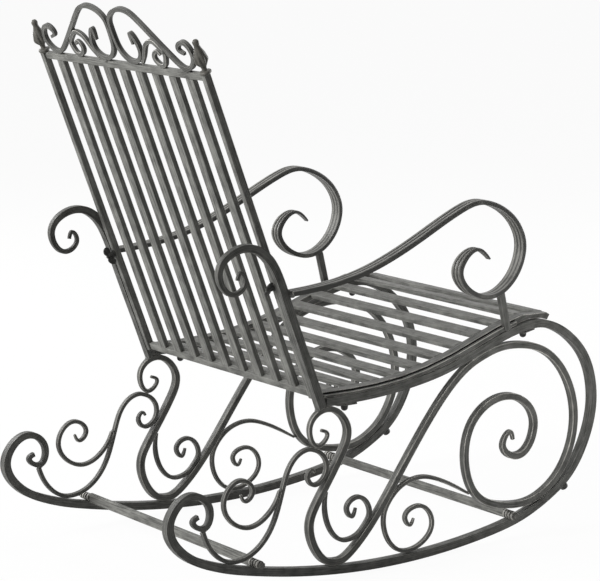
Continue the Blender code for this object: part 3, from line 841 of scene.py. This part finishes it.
@dataclass
class Fasteners:
    """Nuts that hold the back, the seat and the loops, set on the faces that they clamp."""

    back_heights_mm: dict[Side, float] = field(
        default_factory=lambda: {Side.LEFT: 541.0, Side.RIGHT: 555.0})
    wing_turns_deg: dict[Side, float] = field(
        default_factory=lambda: {Side.LEFT: -64.0, Side.RIGHT: 50.0})
    loop_place_mm: tuple[float, float] = (-427.0, 85.0)
    loop_heading: tuple[float, float] = (-0.62, -0.78)
    seat_inset_mm: float = 9.0
    reach_mm: float = 60.0
    ear_sides: int = 28
    ear_mm: float = 7.2
    ear_thickness_mm: float = 3.0
    ear_round_mm: float = 1.0
    ear_segments: int = 3
    ear_place_mm: tuple[float, float] = (10.0, 10.6)
    ear_lean_deg: float = 35.0
    ear_stretch: tuple[float, float, float] = (1.2, 1.0, 0.95)
    outlines_mm: dict[Nut, tuple[tuple[tuple[float, float], ...], int]] = field(default_factory=lambda: {
        Nut.WING: (((0, 16.5), (2.4, 16.5), (3, 16), (3, 12.6), (4.8, 12), (6.2, 4), (6.2, 1.4),
                    (8.4, 1.2), (8.4, 0), (0, 0)), 28),
        Nut.CAP: (((0, 13.8), (2.6, 13.4), (4.8, 12), (6.2, 10), (6.6, 7.6), (6.8, 6.6), (6.8, 1.6),
                   (8.6, 1.4), (8.6, 0), (0, 0)), 28),
        Nut.HOLLOW: (((0, 5.4), (4.4, 5.6), (4.9, 8.6), (6.2, 9.6), (7.6, 8.8), (8.4, 6.4), (8.6, 0),
                      (0, 0)), 32)})

    def build(self) -> None:
        """Set every nut of both sides."""
        rear = back_axis().cross(ACROSS)
        for side in Side:
            self.set_back_nut(side, rear)
            for place in ("rear", "front"):
                self.set_seat_nut(side, place)
            self.set_loop_nut(side)

    def set_back_nut(self, side: Side, rear: Vector) -> None:
        """Set the wing nut behind an upright of the back.

        Args:
            side: Which upright.
            rear: Direction in which the back's rear faces look.
        """
        node = f"back_upright_{side.label}"
        low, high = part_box(node)
        start = self.on_axis(node, self.back_heights_mm[side] * MM)
        start.x = (low.x + high.x) / 2
        self.set_nut(Nut.WING, f"back_nut_{side.label}", node, start + rear * self.reach_mm * MM, -rear,
                     self.wing_turns_deg[side])

    def set_seat_nut(self, side: Side, place: str) -> None:
        """Set the cap nut under a seat tab.

        Args:
            side: Which side the tab is on.
            place: The word rear or front in its name.
        """
        node = f"seat_tab_{place}_{side.label}"
        low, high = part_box(node)
        start = (low + high) / 2 - UP * self.reach_mm * MM
        start.x = side.value * (min(abs(low.x), abs(high.x)) + self.seat_inset_mm * MM)
        self.set_nut(Nut.CAP, f"seat_nut_{place}_{side.label}", node, start, UP)

    def set_loop_nut(self, side: Side) -> None:
        """Set the hollow nut on the outside of a rocker's front loop.

        Args:
            side: Which rocker.
        """
        node = f"rocker_{side.label}"
        low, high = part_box(node)
        heading = Vector((0, *self.loop_heading)).normalized()
        start = Vector(((low.x + high.x) / 2, *(value * MM for value in self.loop_place_mm)))
        start += heading * self.reach_mm * MM
        self.set_nut(Nut.HOLLOW, f"loop_nut_{side.label}", node, start, -heading)

    def on_axis(self, node: str, height: float) -> Vector:
        """Point of a leaning piece's middle line.

        Args:
            node: The piece's CAD node.
            height: Height of the point.

        Returns:
            The point.
        """
        corners = sorted((vert.co for vert in NODES[node].data.vertices), key=lambda corner: corner.z)
        count = len(corners) // 2
        low = sum(corners[:count], Vector()) / count
        high = sum(corners[-count:], Vector()) / count
        return low + (high - low) * (height - low.z) / (high.z - low.z)

    def set_nut(self, kind: Nut, name: str, node: str, start: Vector, heading: Vector,
                turn_deg: float = 0.0) -> None:
        """Set one nut on the face that a line meets.

        Args:
            kind: Which nut.
            name: The piece's name.
            node: CAD node that carries it.
            start: Start of the line.
            heading: Direction of the line, into the face.
            turn_deg: Turn about the nut's own axis.
        """
        place, outward = face_of(node, start, heading)
        outline, sides = self.outlines_mm[kind]
        shape = lathe(list(outline), sides)
        if kind is Nut.WING:
            self.add_wings(shape)
        turned = standing(place, outward, ACROSS) @ Matrix.Rotation(math.radians(turn_deg), 4, "Z")
        bmesh.ops.transform(shape, matrix=turned, verts=shape.verts)
        new_piece(f"{kind.value}_{name}", shape, NUT_STEEL)

    def add_wings(self, shape: bmesh.types.BMesh) -> None:
        """Add two rounded ears beside the nut's barrel.

        Args:
            shape: The nut, standing on the origin.
        """
        for sign in (1, -1):
            ear = bmesh.new()
            bmesh.ops.create_cone(ear, cap_ends=True, segments=self.ear_sides, radius1=self.ear_mm * MM,
                                  radius2=self.ear_mm * MM, depth=self.ear_thickness_mm * MM)
            bmesh.ops.bevel(ear, geom=sharp_edges(ear, SHARP), offset=self.ear_round_mm * MM,
                            segments=self.ear_segments, profile=0.5, affect="EDGES", material=-1)
            for face in ear.faces:
                face.smooth = True
            out, up = self.ear_place_mm
            place = Matrix.Translation((sign * out * MM, 0, up * MM))
            lean = Matrix.Rotation(sign * math.radians(self.ear_lean_deg), 4, "Y")
            stretch = Matrix.Diagonal((*self.ear_stretch, 1))
            join(shape, ear, place @ lean @ stretch @ Matrix.Rotation(math.pi / 2, 4, "X"))


@dataclass
class Welds:
    """Small rippled beads where the bars of a side frame touch."""

    pairs: tuple[tuple[str, str], ...] = (
        ("tail_scroll", "rocker"), ("tail_scroll", "leg_bar"), ("tail_curl", "tail_scroll"),
        ("inner_curl", "leg_bar"), ("middle_scroll", "rocker"), ("middle_scroll", "leg_bar"),
        ("leg_bar", "rocker"), ("rear_post", "leg_bar"), ("arm_post", "rocker"), ("arm_post", "armrest"),
        ("armrest", "rear_post"), ("seat_side", "rear_post"), ("crest_large", "back_top_rail"),
        ("crest_small", "back_top_rail"), ("crest_small", "crest_large"))
    touch_mm: float = 0.8
    sample_mm: float = 2.5
    apart_mm: float = 28.0
    length_mm: float = 4.2
    rise_mm: float = 2.3
    proud_mm: float = 0.4
    ripple_mm: float = 0.5
    ripple_size_mm: float = 2.2
    back_half_width_mm: float = 4.0
    roundness: int = 3

    def build(self) -> None:
        """Lay the beads of each side, and those of the back's rail, as one piece per side."""
        for side in Side:
            shape = bmesh.new()
            count = 0
            for first, second in self.pairs:
                carrier = second if second in NODES else f"{second}_{side.label}"
                count += self.lay(shape, f"{first}_{side.label}", carrier)
            LOG.info("weld beads %s: %d", side.label, count)
            new_piece(f"weld_beads_{side.label}", shape, FRAME_IRON)

    def lay(self, shape: bmesh.types.BMesh, node: str, carrier: str) -> int:
        """Lay beads along the places where one bar touches another.

        Args:
            shape: Mesh that gets the beads.
            node: CAD node of the bar.
            carrier: CAD node that it touches.

        Returns:
            How many beads were laid.
        """
        bar = merged_copy(node)
        other = merged_copy(carrier)
        tree = BVHTree.FromBMesh(other)
        found = []
        for edge in bar.edges:
            ends = [vert.co for vert in edge.verts]
            steps = max(1, math.ceil(edge.calc_length() / (self.sample_mm * MM)))
            for k in range(steps + 1):
                point = ends[0].lerp(ends[1], k / steps)
                place, outward, _, distance = tree.find_nearest(point, self.touch_mm * MM)
                if place is not None:
                    found.append((distance, place.copy(), outward.copy()))
        found.sort(key=lambda entry: entry[0])
        low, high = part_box(node)
        on_back = carrier.startswith(("back_", "crest_"))
        half_width = self.back_half_width_mm * MM if on_back else (high.x - low.x) / 2
        laid = []
        for _, place, outward in found:
            if not on_back:
                place.x = (low.x + high.x) / 2
            if all((place - earlier).length > self.apart_mm * MM for earlier in laid):
                laid.append(place)
                self.bead(shape, place, outward, half_width)
        bar.free()
        other.free()
        return len(laid)

    def bead(self, shape: bmesh.types.BMesh, place: Vector, outward: Vector, half_width: float) -> None:
        """Lay one rippled bead across a bar.

        Args:
            shape: Mesh that gets the bead.
            place: Middle of the bead.
            outward: Direction that it stands up in.
            half_width: Half the width of the bar.
        """
        lump = bmesh.new()
        bmesh.ops.create_icosphere(lump, subdivisions=self.roundness, radius=1)
        reach = (half_width + self.proud_mm * MM, self.length_mm * MM, self.rise_mm * MM)
        for vert in lump.verts:
            vert.co = Vector(vert.co[i] * reach[i] for i in range(3))
            drift = noise.noise((vert.co + place) / (self.ripple_size_mm * MM))
            vert.co += vert.co.normalized() * drift * self.ripple_mm * MM
        for face in lump.faces:
            face.smooth = True
        join(shape, lump, standing(place, outward, ACROSS))


@dataclass(frozen=True)
class Softbox:
    """A square soft lamp: where it stands, what it points at, its side in metres and its power in watts."""

    name: str
    place: tuple[float, float, float]
    aim: tuple[float, float, float]
    size: float
    watts: float
    spread_deg: float = 180.0

    def build(self, scene: bpy.types.Scene) -> None:
        """Hang the lamp.

        Args:
            scene: Scene that gets it.
        """
        data = bpy.data.lights.new(self.name, "AREA")
        data.spread = math.radians(self.spread_deg)
        data.size = self.size
        data.energy = self.watts
        lamp = bpy.data.objects.new(self.name, data)
        lamp.location = self.place
        away = Vector(self.place) - Vector(self.aim)
        lamp.rotation_euler = away.to_track_quat("Z", "Y").to_euler()
        scene.collection.objects.link(lamp)


@dataclass(frozen=True)
class Studio:
    """Pale floor, soft light and the camera at the photograph's view."""

    azimuth_deg: float = 232.9494
    elevation_deg: float = 10.7289
    camera_place: tuple[float, float, float] = (-3.73845, 2.82896, 1.36459)
    lens_mm: float = 150.0
    sensor_mm: float = 36.0
    floor_size: float = 80.0
    floor_colour: str = "dededc"
    floor_shade_share: float = 0.045
    sky_strength: float = 0.05
    chair_middle: tuple[float, float, float] = (0, 0, 0.5)
    front_loop: tuple[float, float, float] = (-0.28, -0.48, 0.36)

    def build(self) -> None:
        """Set the stage."""
        scene = bpy.context.scene
        scene.view_settings.view_transform = "Standard"
        self.add_camera(scene)
        self.add_floor(scene)
        self.add_sky(scene)
        for lamp in (Softbox("rear_softbox", (1.2, 5.6, 3.4), self.chair_middle, size=2.4, watts=480),
                     Softbox("top_softbox", (0.6, -0.4, 3.4), self.chair_middle, size=2.5, watts=40),
                     Softbox("front_softbox", (0.2, -4.2, 1.3), self.chair_middle, size=1.8, watts=110),
                     Softbox("left_softbox", (4.0, 0.6, 1.4), self.chair_middle, size=1.8, watts=110),
                     Softbox("side_softbox", (-1.6, 0.5, 0.5), self.front_loop, size=0.5, watts=1.3,
                             spread_deg=44)):
            lamp.build(scene)

    def add_camera(self, scene: bpy.types.Scene) -> None:
        """Place the camera by its measured direction and lens.

        Args:
            scene: Scene that gets it.
        """
        data = bpy.data.cameras.new("camera")
        data.sensor_fit = "HORIZONTAL"
        data.sensor_width = self.sensor_mm
        data.lens = self.lens_mm
        camera = bpy.data.objects.new("camera", data)
        turn = math.radians(self.azimuth_deg)
        tilt = math.radians(self.elevation_deg)
        away = Vector((math.sin(turn) * math.cos(tilt), -math.cos(turn) * math.cos(tilt), math.sin(tilt)))
        camera.location = self.camera_place
        camera.rotation_euler = away.to_track_quat("Z", "Y").to_euler()
        scene.collection.objects.link(camera)
        scene.camera = camera

    def add_floor(self, scene: bpy.types.Scene) -> None:
        """Lay a floor that shows white to the eye and in reflections, with the chair's soft shadow.

        Args:
            scene: Scene that gets it.
        """
        shape = bmesh.new()
        bmesh.ops.create_grid(shape, x_segments=1, y_segments=1, size=self.floor_size / 2)
        mesh = bpy.data.meshes.new("floor")
        shape.to_mesh(mesh)
        shape.free()
        floor = bpy.data.objects.new("floor", mesh)
        scene.collection.objects.link(floor)
        # Matt paper: plain white, with a faint shade where the chair stands
        material = bpy.data.materials.new("white_studio_paper")
        material.use_nodes = True
        tree = material.node_tree
        tree.nodes.clear()
        seen = self.seen_ray(tree)
        share = add_node(tree, "ShaderNodeMath", {1: 1 - self.floor_shade_share}, {0: seen},
                         operation="MULTIPLY")
        paper = add_node(tree, "ShaderNodeBsdfDiffuse", {"Color": linear(self.floor_colour)})
        white = add_node(tree, "ShaderNodeEmission")
        mixed = add_node(tree, "ShaderNodeMixShader", None,
                         {0: share.outputs["Value"], 1: paper.outputs["BSDF"],
                          2: white.outputs["Emission"]})
        add_node(tree, "ShaderNodeOutputMaterial", None, {"Surface": mixed.outputs["Shader"]})
        mesh.materials.append(material)

    def seen_ray(self, tree: bpy.types.NodeTree) -> bpy.types.NodeSocket:
        """Tell the rays that show the background from those that light the chair.

        Args:
            tree: Node tree that gets the nodes.

        Returns:
            A socket that is one for rays from the eye, from gloss and through glass.
        """
        path = add_node(tree, "ShaderNodeLightPath")
        gloss = add_node(tree, "ShaderNodeMath", None,
                         {0: path.outputs["Is Camera Ray"], 1: path.outputs["Is Glossy Ray"]},
                         operation="MAXIMUM")
        through = add_node(tree, "ShaderNodeMath", None,
                           {0: gloss.outputs["Value"], 1: path.outputs["Is Transmission Ray"]},
                           operation="MAXIMUM")
        return through.outputs["Value"]

    def add_sky(self, scene: bpy.types.Scene) -> None:
        """Give soft even light from all round, white where it is seen.

        Args:
            scene: Scene that gets it.
        """
        world = bpy.data.worlds.new("studio")
        world.use_nodes = True
        tree = world.node_tree
        shader = tree.nodes["Background"]
        shader.inputs["Color"].default_value = (1, 1, 1, 1)
        strength = add_node(tree, "ShaderNodeMapRange", {"To Min": self.sky_strength, "To Max": 1.0},
                            {"Value": self.seen_ray(tree)})
        tree.links.new(strength.outputs["Result"], shader.inputs["Strength"])
        scene.world = world


def main() -> None:
    """Dress the chair and set the stage."""
    logging.basicConfig(level=logging.INFO, format="%(name)s: %(message)s")
    for work in (ForgedBars(), PanelWork(), Finials(), Sleeves(), Fasteners(), Welds(), Studio()):
        work.build()


if __name__ == "__main__":
    main()
